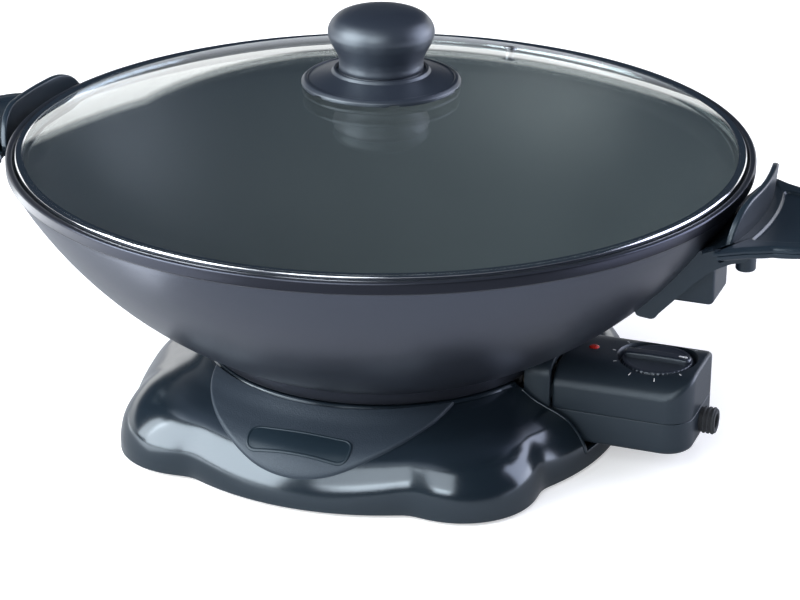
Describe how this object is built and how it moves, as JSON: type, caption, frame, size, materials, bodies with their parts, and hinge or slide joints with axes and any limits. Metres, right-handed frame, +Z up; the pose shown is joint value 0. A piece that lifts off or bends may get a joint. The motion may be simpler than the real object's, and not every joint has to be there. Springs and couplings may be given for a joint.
{
  "type": "electric wok",
  "caption": "Electric wok: lobed stand, lift-off cast bowl with two grips and an element under its floor, domed glass lid with knob, and a plug-in temperature control with dial.",
  "frame": {"origin": "on the table under the bowl's axis, which is the centre of the bottom of the bounding box", "axes": "+Z up; -Y is the front, where the blank plate is; +X is the side of the plug-in temperature control; the two grips lie along X"},
  "size_m": [0.488, 0.376, 0.2175],
  "materials": {
    "gloss_black": "deep gloss black",
    "grained_charcoal": "fine spark-eroded grain",
    "badge_black": "smooth satin, blank",
    "satin_black": "satin black phenolic or nylon",
    "plain_black": "fine matt",
    "knob_black": "gloss phenolic",
    "plate_grey": "matt, vented",
    "sheet_steel": "plain rolled sheet",
    "screw_steel": "zinc plated",
    "band_steel": "polished stainless",
    "cast_bowl": "cast, dark non-stick coat inside, satin gunmetal enamel outside",
    "element_tube": "heat-darkened sheath",
    "pin_metal": "nickelled",
    "contact_brass": "bare",
    "steatite": "unglazed",
    "switch_body": "moulded switch block",
    "lens_red": "clear red",
    "foot_rubber": "soft matt",
    "pad_silicone": "heat-proof silicone",
    "lid_clear": "clear toughened glass",
    "pointer_white": "printed white"
  },
  "bodies": {
    "base": {"base_shell": "gloss_black", "front_panel": "grained_charcoal", "badge_plate": "badge_black", "bottom_plate": "plate_grey", "heat_shield": "sheet_steel", "shield_screws": "screw_steel", "plate_screws": "screw_steel", "seat_pads": "pad_silicone", "foot_front_left": "foot_rubber", "foot_front_right": "foot_rubber", "foot_rear_left": "foot_rubber", "foot_rear_right": "foot_rubber"},
    "bowl": {"wok_bowl": "cast_bowl", "heating_element": "element_tube", "element_clamp": "sheet_steel", "clamp_screws": "screw_steel", "terminal_pins": "pin_metal", "pin_insulators": "steatite", "earth_spring": "contact_brass", "probe_guide": "sheet_steel", "connector_shroud": "plain_black", "shroud_screws": "screw_steel", "handle_upper_left": "satin_black", "handle_lower_left": "satin_black", "handle_upper_right": "satin_black", "handle_lower_right": "satin_black", "handle_screws": "screw_steel", "grip_screws": "screw_steel"},
    "lid": {"lid_glass": "lid_clear", "lid_rim_band": "band_steel", "vent_eyelet": "band_steel", "lid_knob": "knob_black", "knob_skirt": "knob_black", "knob_gasket": "foot_rubber", "knob_screw": "screw_steel", "knob_washer": "screw_steel"},
    "control": {"control_top": "plain_black", "control_bottom": "plain_black", "probe_rod": "screw_steel", "contact_sleeves": "contact_brass", "contact_carrier": "steatite", "thermostat_switch": "switch_body", "pilot_lens": "lens_red", "cord_gland": "foot_rubber", "control_screws": "screw_steel"},
    "dial": {"dial_knob": "knob_black", "dial_pointer": "pointer_white"}
  },
  "joints": [
    {"name": "bowl_lift", "type": "slide", "parent": "base", "child": "bowl", "axis": [0, 0, 1], "range_m": [0, 0.15]},
    {"name": "lid_lift", "type": "slide", "parent": "bowl", "child": "lid", "axis": [0, 0, 1], "range_m": [0, 0.2]},
    {"name": "control_pull", "type": "slide", "parent": "bowl", "child": "control", "axis": [1, 0, 0], "range_m": [0, 0.08]},
    {"name": "dial_turn", "type": "hinge", "parent": "control", "child": "dial", "pos_m": [0.1481, 0, 0.0485], "axis": [0, 0, 1], "range_deg": [-270, 0]}
  ]
}
